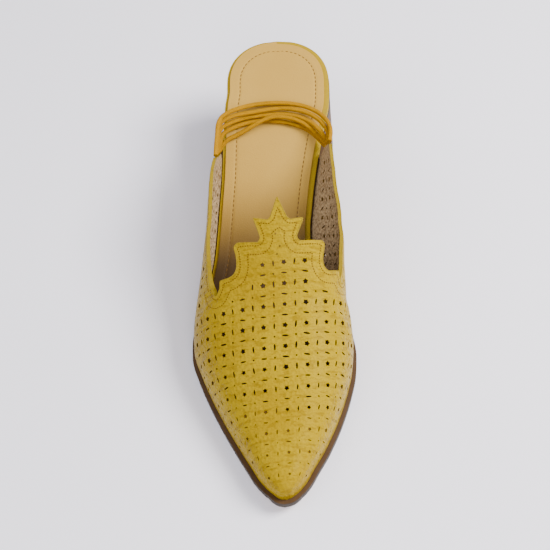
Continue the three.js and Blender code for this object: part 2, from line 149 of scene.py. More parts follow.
class Finish:
    """A material of nodes round one Principled surface."""

    def __init__(self, name, **fixed):
        self.material = bpy.data.materials.new(name)
        self.material.use_nodes = True
        self.tree = self.material.node_tree
        self.surface = self.tree.nodes["Principled BSDF"]
        self.surface.inputs["Specular IOR Level"].default_value = 0.2
        for word, value in fixed.items():
            self.surface.inputs[word.replace("_", " ").title().replace("Ior", "IOR")].default_value = value

    def node(self, kind, settings, inputs, output=0):
        """Any node: its settings first, then values or links by input name or number."""
        node = self.tree.nodes.new(kind)
        for word, value in settings.items():
            setattr(node, word, value)
        for place, value in inputs.items():
            plug(self.tree, node.inputs[place], value)
        return node.outputs[output]

    def spot(self, scale, detail=2.0, stretch=(1, 1, 1), where="Object"):
        """Soft noise on the object's or the leather's own coordinates, from 0 to 1."""
        coordinates = self.node("ShaderNodeTexCoord", {}, {}, where)
        place = self.node("ShaderNodeMapping", {}, {"Vector": coordinates, "Scale": stretch})
        noise = self.node("ShaderNodeTexNoise", {}, {"Vector": place, "Scale": scale, "Detail": detail})
        return Value(self.tree, noise)

    def pebbles(self, scale):
        """The grain's small domes, 0 in the middle of each."""
        coordinates = self.node("ShaderNodeTexCoord", {}, {}, "Object")
        cells = self.node("ShaderNodeTexVoronoi", {}, {"Vector": coordinates, "Scale": scale})
        return Value(self.tree, cells)

    def own(self, axis):
        """The object's own X, Y or Z, in metres."""
        coordinates = self.node("ShaderNodeTexCoord", {}, {}, "Object")
        return Value(self.tree, self.node("ShaderNodeSeparateXYZ", {}, {"Vector": coordinates}, axis))

    def step(self, value, low, high):
        """0 below low, 1 above high and a soft slope between."""
        node = self.node("ShaderNodeMapRange", {"interpolation_type": "SMOOTHSTEP"},
                         {"Value": value, "From Min": low, "From Max": high})
        return Value(self.tree, node)

    def mix(self, share, first, second):
        """Two colours, mixed by a share."""
        return self.node("ShaderNodeMix", {"data_type": "RGBA"}, {0: share, 6: first, 7: second}, 2)

    def paint(self, colour):
        """The surface's colour."""
        plug(self.tree, self.surface.inputs["Base Color"], colour)

    def roughen(self, value):
        """How dull the surface is, from 0 to 1."""
        plug(self.tree, self.surface.inputs["Roughness"], value)

    def emboss(self, height, depth):
        """Small relief that light catches, a depth in metres."""
        bump = self.node("ShaderNodeBump", {}, {"Height": height, "Distance": depth, "Strength": 1.0})
        plug(self.tree, self.surface.inputs["Normal"], bump)


def speckled(name, roughness, dark, light, scale, detail=2.0, stretch=(1, 1, 1), relief=0.0):
    """A finish with two colours in soft noise. The same noise can be its relief, in metres."""
    finish = Finish(name, Roughness=roughness)
    specks = finish.spot(scale, detail, stretch)
    finish.paint(finish.mix(specks, linear(*dark), linear(*light)))
    if relief:
        finish.emboss(specks, relief)
    return finish


def mesh_of(name, shape, finishes):
    """A mesh with its finishes, made from a shape that is then let go."""
    mesh = bpy.data.meshes.new(name)
    shape.to_mesh(mesh)
    shape.free()
    for finish in finishes:
        mesh.materials.append(finish.material)
    return mesh


floor_finish = speckled("studio_floor", 0.75, (248, 246, 254), (244, 242, 251), scale=3.0)
floor_shape = bmesh.new()
bmesh.ops.create_grid(floor_shape, x_segments=1, y_segments=1, size=FLOOR_HALF)
floor = linked(bpy.data.objects.new("floor", mesh_of("floor", floor_shape, [floor_finish])))

# Elastic strands
# Five round elastics, woven of golden yarn over a rubber core, sewn in between leather and lining at
# the wings' back ends. They lie low over the sock, one crosses the rest, and they hold the heel.
ELASTIC = 0.0025
WEAVE_SLANT = 0.5
WEAVE_SCALE = (90, 9, 1)
STRANDS_MM = [
    [(-33.5, -51.3, 58.3), (-33.0, -38.5, 58.2), (-31.4, -25.7, 58.1), (-27.2, -20.7, 57.3),
     (-21.1, -16.8, 56.0), (-13.3, -13.5, 54.6), (-8.9, -12.6, 54.1), (-4.3, -12.1, 53.8),
     (4.8, -12.3, 53.5), (13.1, -14.5, 53.7), (19.4, -18.3, 54.5), (24.5, -23.7, 55.7),
     (27.8, -29.9, 56.9), (29.1, -36.3, 57.8), (28.4, -44.2, 58.2)],
    [(-33.3, -48.4, 55.4), (-33.1, -37.6, 55.3), (-31.9, -26.8, 55.2), (-27.0, -22.2, 54.8),
     (-20.2, -19.6, 54.3), (-13.3, -18.3, 54.0), (-6.4, -17.0, 53.9), (0.6, -16.1, 53.7),
     (4.4, -16.1, 53.6), (8.2, -16.6, 53.5), (15.1, -19.1, 53.5), (20.6, -23.2, 54.0),
     (25.0, -29.2, 54.8), (27.5, -35.5, 55.3), (27.9, -42.9, 55.3)],
    [(-33.1, -45.6, 52.5), (-32.9, -36.8, 52.4), (-31.6, -28.1, 52.4), (-27.2, -24.2, 52.0),
     (-21.1, -21.3, 51.7), (-17.4, -20.2, 51.5), (-13.5, -19.3, 51.4), (-5.8, -18.4, 51.3),
     (1.5, -18.3, 51.3), (8.1, -19.4, 51.2), (13.6, -22.1, 51.7), (18.5, -26.3, 52.6),
     (22.6, -31.6, 53.2), (25.7, -36.9, 53.1), (27.3, -41.4, 52.5)],
    [(-32.9, -42.6, 49.7), (-32.1, -36.1, 49.8), (-30.4, -29.6, 50.0), (-25.7, -26.1, 50.1),
     (-20.1, -23.7, 50.2), (-14.2, -22.3, 50.3), (-8.0, -21.8, 50.3), (-2.1, -22.1, 50.2),
     (4.2, -23.1, 50.0), (7.3, -24.0, 49.7), (10.4, -25.0, 49.4), (15.9, -27.4, 48.5),
     (20.6, -31.3, 47.5), (23.6, -35.0, 46.9), (26.0, -38.5, 46.9)],
    [(-32.6, -39.2, 46.9), (-30.9, -35.7, 47.3), (-28.2, -32.2, 47.7), (-23.3, -30.0, 48.6),
     (-18.7, -28.6, 50.4), (-14.4, -27.1, 52.3), (-10.5, -25.4, 53.5), (-6.4, -23.5, 54.0),
     (-2.2, -22.3, 54.0), (2.3, -22.2, 53.7), (7.1, -22.8, 52.9), (11.9, -24.4, 52.0),
     (16.3, -27.3, 51.2), (20.5, -31.3, 50.4), (23.5, -35.4, 49.9), (26.7, -39.6, 49.7)],
]

elastic_finish = Finish("golden_elastic", Roughness=0.7, Specular_Tint=(1.0, 0.70, 0.15, 1.0))
yarn = elastic_finish.node("ShaderNodeTexCoord", {}, {}, "UV")
weave_place = elastic_finish.node("ShaderNodeMapping", {}, {
    "Vector": yarn, "Rotation": (0, 0, WEAVE_SLANT), "Scale": WEAVE_SCALE})
weave = elastic_finish.node("ShaderNodeTexWave", {"wave_profile": "SIN"},
                            {"Vector": weave_place, "Scale": 1.0, "Distortion": 0.8}, 1)
elastic_finish.paint(elastic_finish.mix(weave, linear(150, 100, 0), linear(204, 148, 0)))
elastic_finish.emboss(weave, 0.00018)

for number, points in enumerate(STRANDS_MM, 1):
    name = f"elastic_strand_{number}"
    route = bpy.data.curves.new(name, "CURVE")
    route.dimensions = "3D"
    route.bevel_depth = ELASTIC / 2
    route.bevel_resolution = 3
    route.resolution_u = 6
    route.use_fill_caps = True
    spline = route.splines.new("BEZIER")
    spline.bezier_points.add(len(points) - 1)
    for knot, point in zip(spline.bezier_points, points):
        knot.co = [value / 1000 for value in point]
        knot.handle_left_type = "AUTO"
        knot.handle_right_type = "AUTO"
    route.materials.append(elastic_finish.material)
    strand = linked(bpy.data.objects.new(name, route))
    bpy.context.view_layer.update()
    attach(strand, "root")
    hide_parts(f"elastic_{number}")

# Outsole
# One piece of brown sole leather, 4 mm thick. It lies flat under the ball, turns up at the toe and
# climbs over the waist to the heel seat, and its edge is trimmed and inked.
LENGTH = 0.265
BALL = 0.080
WAIST = 0.051
SEAT = 0.058
HEEL_HEIGHT = 0.050
TOE_SPRING = 0.006
SPRING_START = 0.80
SOLE = 0.004
GAP = 0.0003
WALL = 0.0016
BOARD_CLEARANCE = 0.0005
WELT_AT_TOE, WELT_AT_BALL, WELT_AT_WAIST = 0.0026, 0.0018, 0.0005
TOE_ROUND = 0.0115
HEEL_ROUND = 0.028
HEEL_FULLNESS = 2.2
FROM_BACK = 0.031
LATERAL, MEDIAL = -1, 1
UPPER_GROW = WALL + BOARD_CLEARANCE
BOARD_TIP = LENGTH - WELT_AT_TOE - UPPER_GROW
EVEN_SHARE = 0.35
STEEP = 0.5

# Place along the shoe, and the underside's lift as a share of the heel height
PROFILE = [(0.00, 1.000), (0.10, 0.915), (0.20, 0.800), (0.30, 0.600), (0.40, 0.360),
           (0.50, 0.135), (0.58, 0.020), (0.64, 0.000), (1.00, 0.000)]

# Place along the shoe, and the board's edge at the lateral and medial side as shares of a width
BOARD_EDGE = [(at, lateral * width, medial * width) for at, lateral, medial, width in [
    (0.000, 0.500, 0.500, SEAT), (0.120, 0.492, 0.502, SEAT), (0.155, 0.512, 0.495, SEAT),
    (0.190, 0.522, 0.462, SEAT), (0.240, 0.606, 0.463, WAIST), (0.300, 0.622, 0.398, WAIST),
    (0.360, 0.653, 0.347, WAIST), (0.420, 0.688, 0.314, WAIST), (0.460, 0.716, 0.314, WAIST),
    (0.500, 0.485, 0.229, BALL), (0.545, 0.520, 0.291, BALL), (0.590, 0.551, 0.367, BALL),
    (0.635, 0.566, 0.422, BALL), (0.670, 0.560, 0.436, BALL), (0.710, 0.519, 0.427, BALL),
    (0.760, 0.452, 0.390, BALL), (0.820, 0.357, 0.324, BALL), (0.880, 0.251, 0.238, BALL),
    (0.940, 0.142, 0.136, BALL), (0.980, 0.078, 0.090, BALL)]]

# Place along the shoe, and the outsole's ledge outside the board
SOLE_LEDGE = [(0.00, GAP), (0.20, GAP), (0.26, UPPER_GROW + WELT_AT_WAIST),
              (0.50, UPPER_GROW + WELT_AT_WAIST), (0.62, UPPER_GROW + WELT_AT_BALL),
              (0.96, UPPER_GROW + WELT_AT_TOE)]


def follow(rows, column, at):
    """A smooth curve through one column of a table, without overshoot."""
    places = [row[0] for row in rows]
    values = [row[column] for row in rows]
    last = len(rows) - 1
    if at <= places[0]:
        return values[0]
    if at >= places[last]:
        return values[last]
    i = next(k for k in range(last) if places[k + 1] >= at)

    def grade(k):
        return (values[k + 1] - values[k]) / (places[k + 1] - places[k])

    def tangent(k):
        if k in (0, last):
            return grade(min(k, last - 1))
        before, after = grade(k - 1), grade(k)
        return 0 if before * after <= 0 else 2 * before * after / (before + after)

    step = places[i + 1] - places[i]
    t = (at - places[i]) / step
    ease = t * t * (3 - 2 * t)
    lean = t * (1 - t) * step * ((1 - t) * tangent(i) - t * tangent(i + 1))
    return values[i] * (1 - ease) + values[i + 1] * ease + lean


def rounding(from_end, stretch, power):
    """1 along the shoe, falling to 0 over the last stretch before a round end."""
    t = min(max(1 - from_end / stretch, 0), 1)
    return (1 - t ** power) ** (1 / power)


def edge(distance, side, grow):
    """How far an edge lies from the centre line: the board's edge, grown all round."""
    column = 2 if side == MEDIAL else 1
    millimetre = 0.001
    here = follow(BOARD_EDGE, column, distance / LENGTH)
    ahead = follow(BOARD_EDGE, column, (distance + millimetre) / LENGTH)
    plain = here + grow * math.hypot(1, (ahead - here) / millimetre)
    back = rounding(distance + grow, HEEL_ROUND + grow, HEEL_FULLNESS)
    front = rounding(BOARD_TIP + grow - distance, TOE_ROUND + grow, 2)
    return plain * back * front


def sole_under(distance):
    """Height of the outsole's underside, at a distance from the back of the heel."""
    at = min(max(distance / LENGTH, 0), 1)
    spring = max((at - SPRING_START) / (1 - SPRING_START), 0)
    return HEEL_HEIGHT * follow(PROFILE, 1, at) + TOE_SPRING * spring * spring


def made(name, shape, finishes, bevel=0.0):
    """Makes a shape one smooth piece, with a small bevel on its sharp edges."""
    obj = linked(bpy.data.objects.new(name, mesh_of(name, shape, finishes)))
    if bevel:
        rounded = obj.modifiers.new("edge", "BEVEL")
        rounded.width = bevel
        rounded.segments = 3
        rounded.limit_method = "ANGLE"
        rounded.angle_limit = math.radians(45)
    settle(obj)
    smooth(obj, sharp=35)
    return obj


def settle(obj):
    """Turns an object's modifiers into its mesh."""
    graph = bpy.context.evaluated_depsgraph_get()
    mesh = bpy.data.meshes.new_from_object(obj.evaluated_get(graph))
    obj.modifiers.clear()
    obj.data = mesh


def smooth(obj, sharp):
    """Soft shading, but for edges sharper than an angle in degrees."""
    obj.data.polygons.foreach_set("use_smooth", [True] * len(obj.data.polygons))
    obj.data.set_sharp_from_angle(angle=math.radians(sharp))


def fitted(obj, slot, *nodes):
    """Fixes a piece to the shoe in the place of its solids."""
    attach(obj, "root")
    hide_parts(*nodes)


def eased(t):
    """Steps along the shoe that lie closer together at both round ends."""
    return EVEN_SHARE * t + (1 - EVEN_SHARE) * 0.5 * (1 - math.cos(math.pi * t))


def raised(shape, faces):
    """Extrudes faces and gives the new corners, still in place."""
    made_parts = bmesh.ops.extrude_face_region(shape, geom=faces)["geom"]
    return [part for part in made_parts if isinstance(part, bmesh.types.BMVert)]


def plate(back, front, grow, under, top, rows, columns):
    """A layer of the sole: a grid laid along the shoe, then drawn down to its underside.

    Its top, edge and underside take the first, second and third finish.
    """
    shape = bmesh.new()
    bmesh.ops.create_grid(shape, x_segments=columns, y_segments=rows, size=1)
    for vert in shape.verts:
        distance = back + (front - back) * eased((1 - vert.co.y) / 2)
        side = MEDIAL if vert.co.x > 0 else LATERAL
        at_end = abs(vert.co.y) > 1 - 1e-6
        reach = 0 if at_end else max(edge(distance, side, grow(distance, side)), 0)
        vert.co = (vert.co.x * reach, FROM_BACK - distance, top(distance))
    for vert in raised(shape, shape.faces[:]):
        vert.co.z = under(FROM_BACK - vert.co.y)
    bmesh.ops.remove_doubles(shape, verts=shape.verts[:], dist=2e-6)
    bmesh.ops.recalc_face_normals(shape, faces=shape.faces[:])
    for face in shape.faces:
        face.normal_update()
        if face.normal.z < -STEEP:
            face.material_index = 2
        elif face.normal.z < STEEP:
            face.material_index = 1
    return shape


SOLE_FINISHES = [
    speckled("sole_top_leather", 0.6, (62, 43, 24), (84, 60, 36), scale=160),
    speckled("sole_edge_ink", 0.5, (30, 20, 8), (50, 36, 18), scale=220, stretch=(1, 1, 7), relief=0.0001),
    speckled("sole_under_leather", 0.7, (148, 116, 84), (176, 146, 112), scale=90, detail=6,
             relief=0.00015)]
outsole = made("leather_outsole", plate(
    -GAP, LENGTH, lambda distance, side: follow(SOLE_LEDGE, 1, distance / LENGTH),
    sole_under, lambda distance: sole_under(distance) + SOLE, rows=150, columns=16),
    SOLE_FINISHES, bevel=0.0005)
fitted(outsole, "sole_leather", "outsole")

# Heel block
# A mid block heel, built up from layers of leather and sanded to one smooth flank. It follows the
# seat's curve behind and has a straight breast. Towards the floor both lean in and the sides flare.
HEEL_LENGTH = 0.050
HEEL_RAKE = 0.003
HEEL_FLARE = 0.0012
LIFT = 0.005
LAYER = 0.0036
JOINT_SHARE = 0.09
HEEL_STEPS = 8
HEEL_TOP = HEEL_HEIGHT - 0.002


def heel_outline(height, count=36):
    """Points round the heel at a height, from the breast's medial corner to its lateral one."""
    down = 1 - height / HEEL_HEIGHT
    back = HEEL_RAKE * down
    front = HEEL_LENGTH - HEEL_RAKE * down
    points = []
    for side in (MEDIAL, LATERAL):
        for i in range(count):
            t = 1 - i / count if side == MEDIAL else i / count
            share = 1 - math.cos(t * math.pi / 2)
            own = share * HEEL_LENGTH
            flare = HEEL_FLARE * down * rounding(own, HEEL_ROUND, HEEL_FULLNESS)
            out = edge(own, side, 0) + flare if t > 0 else 0
            points.append((side * out, FROM_BACK - back - (front - back) * share))
    points.append((-(edge(HEEL_LENGTH, LATERAL, 0) + HEEL_FLARE * down), FROM_BACK - front))
    return points


def heel_shape(levels):
    """A closed body through the heel's outlines at some heights."""
    shape = bmesh.new()
    ring = [shape.verts.new((x, y, levels[0])) for x, y in heel_outline(levels[0])]
    bottom = shape.faces.new(ring)
    top = bottom
    for level in levels[1:]:
        lifted = bmesh.ops.extrude_face_region(shape, geom=[top])
        if top is not bottom:
            bmesh.ops.delete(shape, geom=[top], context="FACES_ONLY")
        top = next(part for part in lifted["geom"] if isinstance(part, bmesh.types.BMFace))
        for vert, (x, y) in zip(sorted_ring(top), heel_outline(level)):
            vert.co = (x, y, level)
    bmesh.ops.recalc_face_normals(shape, faces=shape.faces[:])
    return shape, top


def sorted_ring(face):
    """A face's corners, from the one at the breast's medial corner on and towards the back."""
    corners = list(face.verts)
    first = max(range(len(corners)), key=lambda k: corners[k].co.x - corners[k].co.y)
    turned = corners[first:] + corners[:first]
    return turned if turned[1].co.y > turned[-1].co.y else [turned[0]] + turned[:0:-1]


heel_finish = Finish("stacked_heel_leather", Roughness=0.6)
layers_up = heel_finish.own("Z") * (1 / LAYER)
joint = layers_up.math("FRACT", layers_up) < JOINT_SHARE
layer_tone = heel_finish.node("ShaderNodeTexWhiteNoise", {"noise_dimensions": "1D"},
                              {"W": layers_up.math("FLOOR", layers_up)})
grain = heel_finish.spot(260, 4, stretch=(1, 1, 5))
body = heel_finish.mix(layer_tone, linear(84, 58, 34), linear(98, 70, 43))
body = heel_finish.mix(grain * 0.2, body, linear(66, 45, 26))
heel_finish.paint(heel_finish.mix(joint * 0.7, body, linear(52, 35, 20)))
heel_finish.emboss(1 - joint, 0.00012)

heel_levels = [LIFT + (HEEL_TOP - LIFT) * i / HEEL_STEPS for i in range(HEEL_STEPS + 1)]
heel_body, heel_top = heel_shape(heel_levels)
for vert in heel_top.verts:
    vert.co.z = sole_under(FROM_BACK - vert.co.y) - GAP / 2
for vert in heel_body.verts:
    vert.co.z = min(vert.co.z, sole_under(FROM_BACK - vert.co.y) - GAP / 2)
bmesh.ops.remove_doubles(heel_body, verts=heel_body.verts[:], dist=1e-6)
heel = made("stacked_heel", heel_body, [heel_finish], bevel=0.0004)
fitted(heel, "stacked_leather", "heel_block")

# Top lift
# A 5 mm piece of hard dark rubber, nailed and glued under the heel, that takes the wear. Its edge
# is trimmed flush with the heel's flank.
lift_finish = speckled("top_lift_rubber", 0.75, (38, 33, 30), (58, 51, 46), scale=900, detail=3,
                       relief=0.00012)
lift = made("rubber_top_lift", heel_shape([0.0, LIFT])[0], [lift_finish], bevel=0.0005)
fitted(lift, "rubber", "top_lift")

# Insole board
# A 3 mm fibre board that the shoe is lasted on. Its edge is wrapped in the upper's yellow leather
# and shows as a rim round the sock at the open heel.
BOARD = 0.003
board_finish = speckled("yellow_board_wrap", 0.5, (148, 120, 0), (164, 136, 0), scale=500, detail=4,
                        relief=0.0002)


def board_top(distance):
    """Height of the board's upper face."""
    return sole_under(distance) + SOLE + GAP + BOARD


board = made("wrapped_insole_board", plate(
    0, BOARD_TIP, lambda distance, side: 0,
    lambda distance: sole_under(distance) + SOLE + GAP / 3, board_top, rows=140, columns=14),
    [board_finish] * 3, bevel=0.0011)
fitted(board, "yellow_leather", "insole_board")

# Sock
# A thin tan lining leather, cut smaller than the board, glued on it and sewn round 7.5 mm inside the
# board's edge with fine brown thread. The row of stitches lies in a shallow groove. Under the crown
# the sock's colour deepens to dark brown: painted shade, where the vamp keeps the light off.
SOCK = 0.001
SOCK_LATERAL, SOCK_MEDIAL, SOCK_BACK = 0.0017, 0.0028, 0.0015
SEAM_INSIDE = 0.0075
GROOVE, GROOVE_DEPTH = 0.0006, 0.00025
SHADE_START, SHADE_FULL = -0.048, -0.100
SEAM_START, SEAM_REACH = 0.0002, 0.135
SEAM_SUNK = 0.0001
SEAM_STEPS = 60
SOCK_PITCH = 0.0026
SOCK_STITCH = (0.00100, 0.00027, 0.00018)
sock_finish = Finish("tan_sock_leather", Roughness=0.62, Coat_Weight=0.05)
pores = sock_finish.spot(1400, 3)
shade = sock_finish.spot(28, 3)
tan = sock_finish.mix(shade, linear(178, 138, 52), linear(192, 154, 68))
tan = sock_finish.mix(pores * 0.25, tan, linear(150, 110, 40))
# Painted shade: from SHADE_START to SHADE_FULL the sock's tan turns dark brown under the crown.
painted_shade_under_crown = sock_finish.step(sock_finish.own("Y"), SHADE_START, SHADE_FULL)
sock_finish.paint(sock_finish.mix(painted_shade_under_crown, tan, linear(66, 46, 20)))
sock_finish.emboss(pores, 0.00012)


def sock_top(distance):
    """Height of the sock's upper face."""
    return sole_under(distance) + SOLE + 2 * GAP + BOARD + SOCK


def sock_margin(distance, side):
    """How far the sock grows past the board: less than nothing, as it is cut smaller."""
    return -SOCK_MEDIAL if side == MEDIAL else -SOCK_LATERAL


sock_shape = plate(SOCK_BACK, BOARD_TIP - SOCK_MEDIAL, sock_margin, board_top, sock_top,
                   rows=260, columns=90)
for vert in sock_shape.verts:
    distance = FROM_BACK - vert.co.y
    side = MEDIAL if vert.co.x > 0 else LATERAL
    inner = edge(distance, side, -SEAM_INSIDE) if SEAM_INSIDE < distance < BOARD_TIP else 0
    if vert.co.z > sock_top(distance) - SOCK / 2 and inner > 0:
        off = (abs(vert.co.x) - inner) / GROOVE
        vert.co.z -= GROOVE_DEPTH * math.exp(-off * off)
sock = made("tan_sock", sock_shape, [sock_finish] * 3, bevel=0.0003)
fitted(sock, "tan_leather", "sock")


def frame_at(point, along, out):
    """A matrix at a point whose X runs along a seam and whose Z stands off the leather."""
    x_axis = Vector(along).normalized()
    z_axis = (Vector(out) - x_axis * x_axis.dot(Vector(out))).normalized()
    y_axis = z_axis.cross(x_axis)
    return Matrix.Translation(point) @ Matrix((x_axis, y_axis, z_axis)).transposed().to_4x4()


def resampled(points, pitch):
    """Points at an even pitch along a line of points."""
    line = np.array(points)
    arc = np.concatenate([[0], np.cumsum(np.linalg.norm(np.diff(line[:, :3], axis=0), axis=1))])
    count = max(int(round(arc[-1] / pitch)), 1)
    wanted = np.linspace(0, arc[-1], count + 1)
    return np.stack([np.interp(wanted, arc, line[:, k]) for k in range(line.shape[1])], axis=1)


def small_bead(shape, place, size):
    """Adds a small long bead with some half sizes at a place."""
    bmesh.ops.create_uvsphere(shape, u_segments=6, v_segments=4, radius=1,
                              matrix=place @ Matrix.Diagonal((*size, 1)))


def sewn(shape, points, outs, size, sink):
    """A row of stitches through points: for each gap one small long bead, sunk a little."""
    for a, b, out in zip(points[:-1], points[1:], outs):
        middle = (Vector(a) + Vector(b)) / 2 - Vector(out) * sink
        small_bead(shape, frame_at(middle, Vector(b) - Vector(a), out), size)


sock_thread = speckled("tan_thread", 0.6, (88, 60, 22), (116, 84, 36), scale=2500)
seam_run = []
for k in range(SEAM_STEPS + 1):
    share = 1 - math.cos(k / SEAM_STEPS * math.pi / 2)
    seam_run.append(SEAM_INSIDE + SEAM_START + (SEAM_REACH - SEAM_INSIDE) * share)
seam = [(side * edge(distance, side, -SEAM_INSIDE), FROM_BACK - distance, sock_top(distance) - SEAM_SUNK)
        for side, run in ((LATERAL, seam_run[::-1]), (MEDIAL, seam_run[1:])) for distance in run]
seam = resampled(seam, SOCK_PITCH)
seam_shape = bmesh.new()
sewn(seam_shape, seam, [(0, 0, 1)] * len(seam), SOCK_STITCH, 0.0)
seam_row = made("sock_seam", seam_shape, [sock_thread])
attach(seam_row, "root")

# Upper
# One piece of yellow grained leather bonded to a taupe lining, 1.6 mm in all, pulled over the last
# and glued down round the board. The throat is cut to a stepped crown with two side wings. Stars,
# slits and pinholes are punched in a square pattern, right through but for the shallow toe ones.
INSTEP = 0.066
NOSE = BOARD_TIP + UPPER_GROW
NOSE_FULLNESS = 2.8
WING_BACK = 0.071
UPPER_BACK = WING_BACK - 0.008
FOOT = SOLE + GAP / 6

# Place along the shoe; how far the lateral and medial side stand out (shares of the ball width);
# height of the widest place at each side, and of the ridge (shares of the instep height);
# the ridge's shift to the medial side; fullness, where 2 is an ellipse
LAST = [
    (0.220, 0.000, 0.031, 0.30, 0.36, 1.200, 0.000, 2.0),
    (0.300, 0.004, 0.091, 0.30, 0.45, 1.170, 0.000, 2.0),
    (0.380, 0.026, 0.150, 0.29, 0.50, 1.095, 0.000, 2.0),
    (0.456, 0.022, 0.192, 0.26, 0.48, 1.038, 0.005, 2.0),
    (0.480, 0.018, 0.188, 0.25, 0.46, 1.000, 0.008, 2.1),
    (0.540, 0.008, 0.116, 0.18, 0.39, 0.888, 0.008, 2.1),
    (0.600, 0.003, 0.028, 0.12, 0.27, 0.750, 0.005, 2.2),
    (0.660, 0.004, 0.006, 0.09, 0.18, 0.640, 0.003, 2.2),
    (0.730, 0.004, 0.004, 0.08, 0.12, 0.538, 0.002, 2.3),
    (0.810, 0.004, 0.004, 0.07, 0.09, 0.428, 0.004, 2.3),
    (0.890, 0.004, 0.004, 0.06, 0.07, 0.312, 0.006, 2.4),
    (0.950, 0.002, 0.002, 0.05, 0.05, 0.222, 0.010, 2.4),
    (0.990, 0.002, 0.002, 0.04, 0.04, 0.180, 0.010, 2.4)]
LOW_STEPS, HIGH_STEPS = 16, 60
MIDDLE = LOW_STEPS + HIGH_STEPS - 1


def last_section(distance):
    """Points of one section of the last, from the lateral foot over the ridge to the medial foot."""
    at = distance / LENGTH
    nose = rounding(NOSE - distance, TOE_ROUND + UPPER_GROW, NOSE_FULLNESS)
    slim = rounding(NOSE - distance, TOE_ROUND + UPPER_GROW, 2)
    ridge = follow(LAST, 5, at) * INSTEP * nose
    aside = follow(LAST, 6, at) * BALL * nose
    power = 2 / follow(LAST, 7, at)
    halves = []
    for side, out, up in ((LATERAL, 1, 3), (MEDIAL, 2, 4)):
        foot = edge(distance, side, UPPER_GROW)
        widest = foot + follow(LAST, out, at) * BALL * slim
        rise = min(follow(LAST, up, at) * INSTEP, ridge / 2)
        t = np.linspace(0, 1, LOW_STEPS, endpoint=False)
        turn = np.linspace(0, math.pi / 2, HIGH_STEPS)
        flank = aside + (side * widest - aside) * np.cos(turn).clip(0) ** power
        low = np.stack([side * (foot + (widest - foot) * np.sin(t * math.pi / 2)), rise * t], axis=1)
        high = np.stack([flank, rise + (ridge - rise) * np.sin(turn) ** power], axis=1)
        halves.append(np.concatenate([low, high]))
    line = np.concatenate([halves[0], halves[1][-2::-1]])
    return line[:, 0], line[:, 1] + sole_under(distance) + FOOT


NOSE_START = NOSE - TOE_ROUND - UPPER_GROW
sweep_turns = np.linspace(0, math.pi / 2, 40)[1:]
STATIONS = np.concatenate([np.linspace(UPPER_BACK, NOSE_START, 260),
                           NOSE_START + (NOSE - NOSE_START) * np.sin(sweep_turns)])
SECTIONS = [last_section(distance) for distance in STATIONS]
ARCS = []
for across, heights in SECTIONS:
    run = np.concatenate([[0], np.cumsum(np.hypot(np.diff(across), np.diff(heights)))])
    ARCS.append(run - run[MIDDLE])
ridge_heights = [heights[MIDDLE] for across, heights in SECTIONS]
ridge_steps = [math.hypot(STATIONS[k + 1] - STATIONS[k], ridge_heights[k + 1] - ridge_heights[k])
               for k in range(len(STATIONS) - 1)]
RIDGE_RUN = np.concatenate([[0], np.cumsum(ridge_steps)])
RIDGE_RUN -= np.interp(LENGTH / 2, STATIONS, RIDGE_RUN)


def between(distance):
    """The two stations round a distance and the share of the second."""
    k = int(np.clip(np.searchsorted(STATIONS, distance) - 1, 0, len(STATIONS) - 2))
    share = (distance - STATIONS[k]) / (STATIONS[k + 1] - STATIONS[k])
    return k, min(max(share, 0.0), 1.0)


def reach_round(distance):
    """Length round the section from the ridge down to the lateral and the medial foot."""
    k, share = between(distance)
    return [ARCS[k][end] * (1 - share) + ARCS[k + 1][end] * share for end in (0, -1)]


def bare_last(distance, around):
    """The point at a distance along the shoe and a length round from the ridge."""
    k, share = between(distance)
    ends = reach_round(distance)
    part = around / (ends[0] if around < 0 else ends[1])
    both = []
    for station in (k, k + 1):
        arcs = ARCS[station]
        here = part * (arcs[0] if around < 0 else arcs[-1])
        across, heights = SECTIONS[station]
        both.append((np.interp(here, arcs, across), np.interp(here, arcs, heights)))
    x = both[0][0] * (1 - share) + both[1][0] * share
    z = both[0][1] * (1 - share) + both[1][1] * share
    return Vector((x, FROM_BACK - distance, z))


def stand_off(distance, around):
    """The way out of the leather at a place."""
    small = 0.0006
    fore = bare_last(min(distance + small, NOSE - 1e-5), around) - bare_last(distance - small, around)
    over = bare_last(distance, around + small) - bare_last(distance, around - small)
    return fore.cross(over).normalized()


# Soft creases where the vamp bends at the ball, and where it was pulled over the last.
# Place along the shoe; length round from the ridge to its middle; half length; width; depth; slant
CREASES = [
    (0.552, -0.006, 0.022, 0.0030, 0.00045, 0.10), (0.575, 0.012, 0.020, 0.0028, 0.00045, -0.10),
    (0.604, -0.012, 0.026, 0.0034, 0.00050, 0.06), (0.632, 0.006, 0.030, 0.0036, 0.00050, -0.05),
    (0.662, -0.010, 0.030, 0.0034, 0.00040, 0.04), (0.640, 0.040, 0.014, 0.0032, 0.00060, 0.25),
    (0.610, -0.046, 0.014, 0.0032, 0.00060, -0.25), (0.690, 0.044, 0.012, 0.0030, 0.00045, 0.20),
    (0.700, -0.048, 0.012, 0.0030, 0.00045, -0.20), (0.735, 0.000, 0.024, 0.0040, 0.00030, 0.03)]

# The soft swell beside each crease: its share of the depth, and how many widths it lies away
SWELL, SWELL_AWAY = 0.5, 1.7


def crease_depth(distance, around):
    """How far the leather sinks at a place. Beside each crease it stands a little out."""
    depth = 0
    for at, middle, half, width, deep, slant in CREASES:
        aside = (around - middle) / half
        if abs(aside) < 1:
            off = (distance - at * LENGTH - slant * (around - middle)) / width
            trough = math.exp(-off * off) - SWELL * math.exp(-(off - SWELL_AWAY) ** 2)
            depth += deep * (1 - aside * aside) ** 2 * trough
    return depth


def leather(distance, around):
    """A place on the upper's outer face."""
    sink = crease_depth(distance, around)
    point = bare_last(distance, around)
    return point - stand_off(distance, around) * sink if sink else point


# The punched pattern: pitch of the stars round and along, the shoe place of star (0, 0), and how
# the rows slant and bow over the last
PITCH_ROUND, PITCH_ALONG = 0.0110, 0.0108
STAR_ROUND, STAR_ALONG = -0.0086, 0.0485
ROW_SLANT, ROW_BOW = -0.00057, -0.00033


